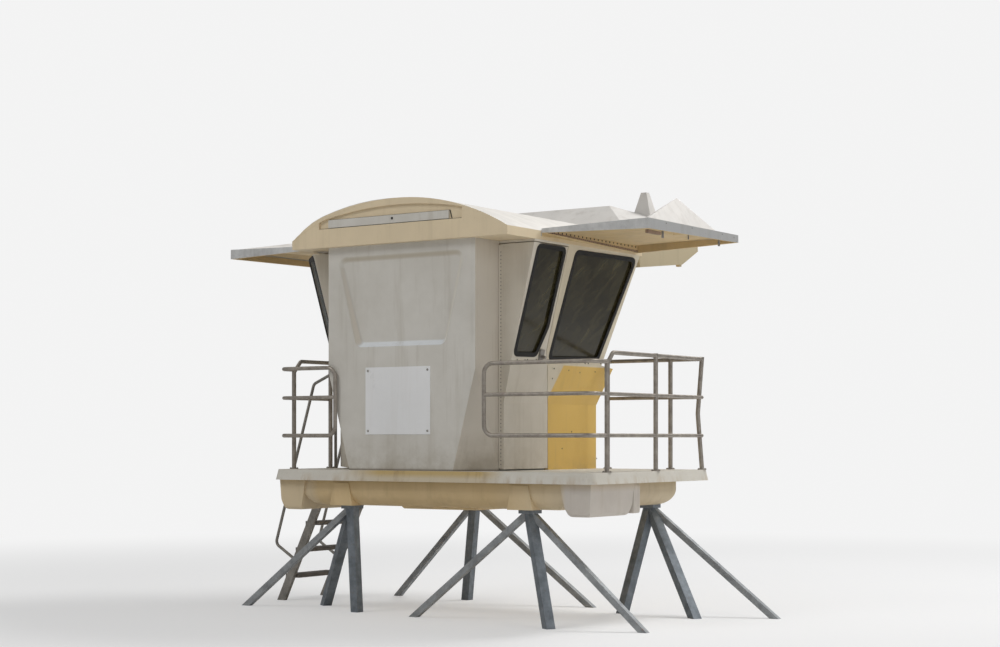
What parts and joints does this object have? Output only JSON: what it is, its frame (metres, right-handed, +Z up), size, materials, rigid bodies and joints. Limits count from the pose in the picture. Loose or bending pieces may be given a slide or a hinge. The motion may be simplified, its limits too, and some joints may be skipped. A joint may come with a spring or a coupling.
{
  "type": "lifeguard tower",
  "caption": "Moulded beach lifeguard cabin with outward-leaning windows, raised shutters, arched roof and railed deck on splayed steel legs.",
  "frame": {"origin": "middle of the bounding box, on the ground", "axes": "+X to the right along the landward back wall, +Y from the back wall towards the sea-side windows, +Z up"},
  "size_m": [5.297, 3.6704, 4.247],
  "materials": {
    "gelcoat": "weathered gelcoat",
    "wall_yellow": "weathered gelcoat",
    "steel_legs": "dull weathered paint",
    "metal_rails": "dull oxidised",
    "ladder_metal": "worn",
    "dark_glass": "tinted",
    "sign_white": "satin",
    "lock_metal": "worn",
    "floor_grey": "plain"
  },
  "bodies": {
    "tower": {"back_rail_left": "metal_rails", "back_rail_right": "metal_rails", "brace_in_back_right": "steel_legs", "brace_in_front_left": "steel_legs", "brace_out_back_left": "steel_legs", "brace_out_back_right": "steel_legs", "brace_out_front_left": "steel_legs", "brace_out_front_right": "steel_legs", "deck": "gelcoat", "floor": "floor_grey", "front_left_glass": "dark_glass", "front_rail_left": "metal_rails", "front_rail_right": "metal_rails", "front_right_glass": "dark_glass", "front_shutter": "gelcoat", "front_wall": "gelcoat", "hull": "gelcoat", "ladder_handrail_back": "ladder_metal", "ladder_handrail_front": "ladder_metal", "ladder_stringer_back": "ladder_metal", "ladder_stringer_front": "ladder_metal", "ladder_treads": "ladder_metal", "left_door_header": "gelcoat", "left_shutter": "gelcoat", "left_wall": "wall_yellow", "left_window_glass": "dark_glass", "leg_back_left": "steel_legs", "leg_back_right": "steel_legs", "leg_far_front_right": "steel_legs", "leg_front_left": "steel_legs", "leg_front_right": "steel_legs", "leg_near_back_left": "steel_legs", "rear_bay": "gelcoat", "right_door_header": "gelcoat", "right_shutter": "gelcoat", "right_wall": "wall_yellow", "right_window_glass": "dark_glass", "roof": "gelcoat", "side_rail_left": "metal_rails", "side_rail_right": "metal_rails", "sign_plate": "sign_white", "vent_flap": "gelcoat"},
    "right_door": {"right_door": "gelcoat", "right_door_glass": "dark_glass", "right_door_lock": "lock_metal"},
    "left_door": {"left_door": "gelcoat", "left_door_glass": "dark_glass"}
  },
  "joints": [
    {"name": "right_door_hinge", "type": "hinge", "parent": "tower", "child": "right_door", "pos_m": [0.56766, -1.36857, 2.398], "axis": [0, 0, -1], "range_deg": [0, 85]},
    {"name": "left_door_hinge", "type": "hinge", "parent": "tower", "child": "left_door", "pos_m": [-1.14694, -1.36857, 2.398], "axis": [0, 0, 1], "range_deg": [-45, 0]}
  ]
}
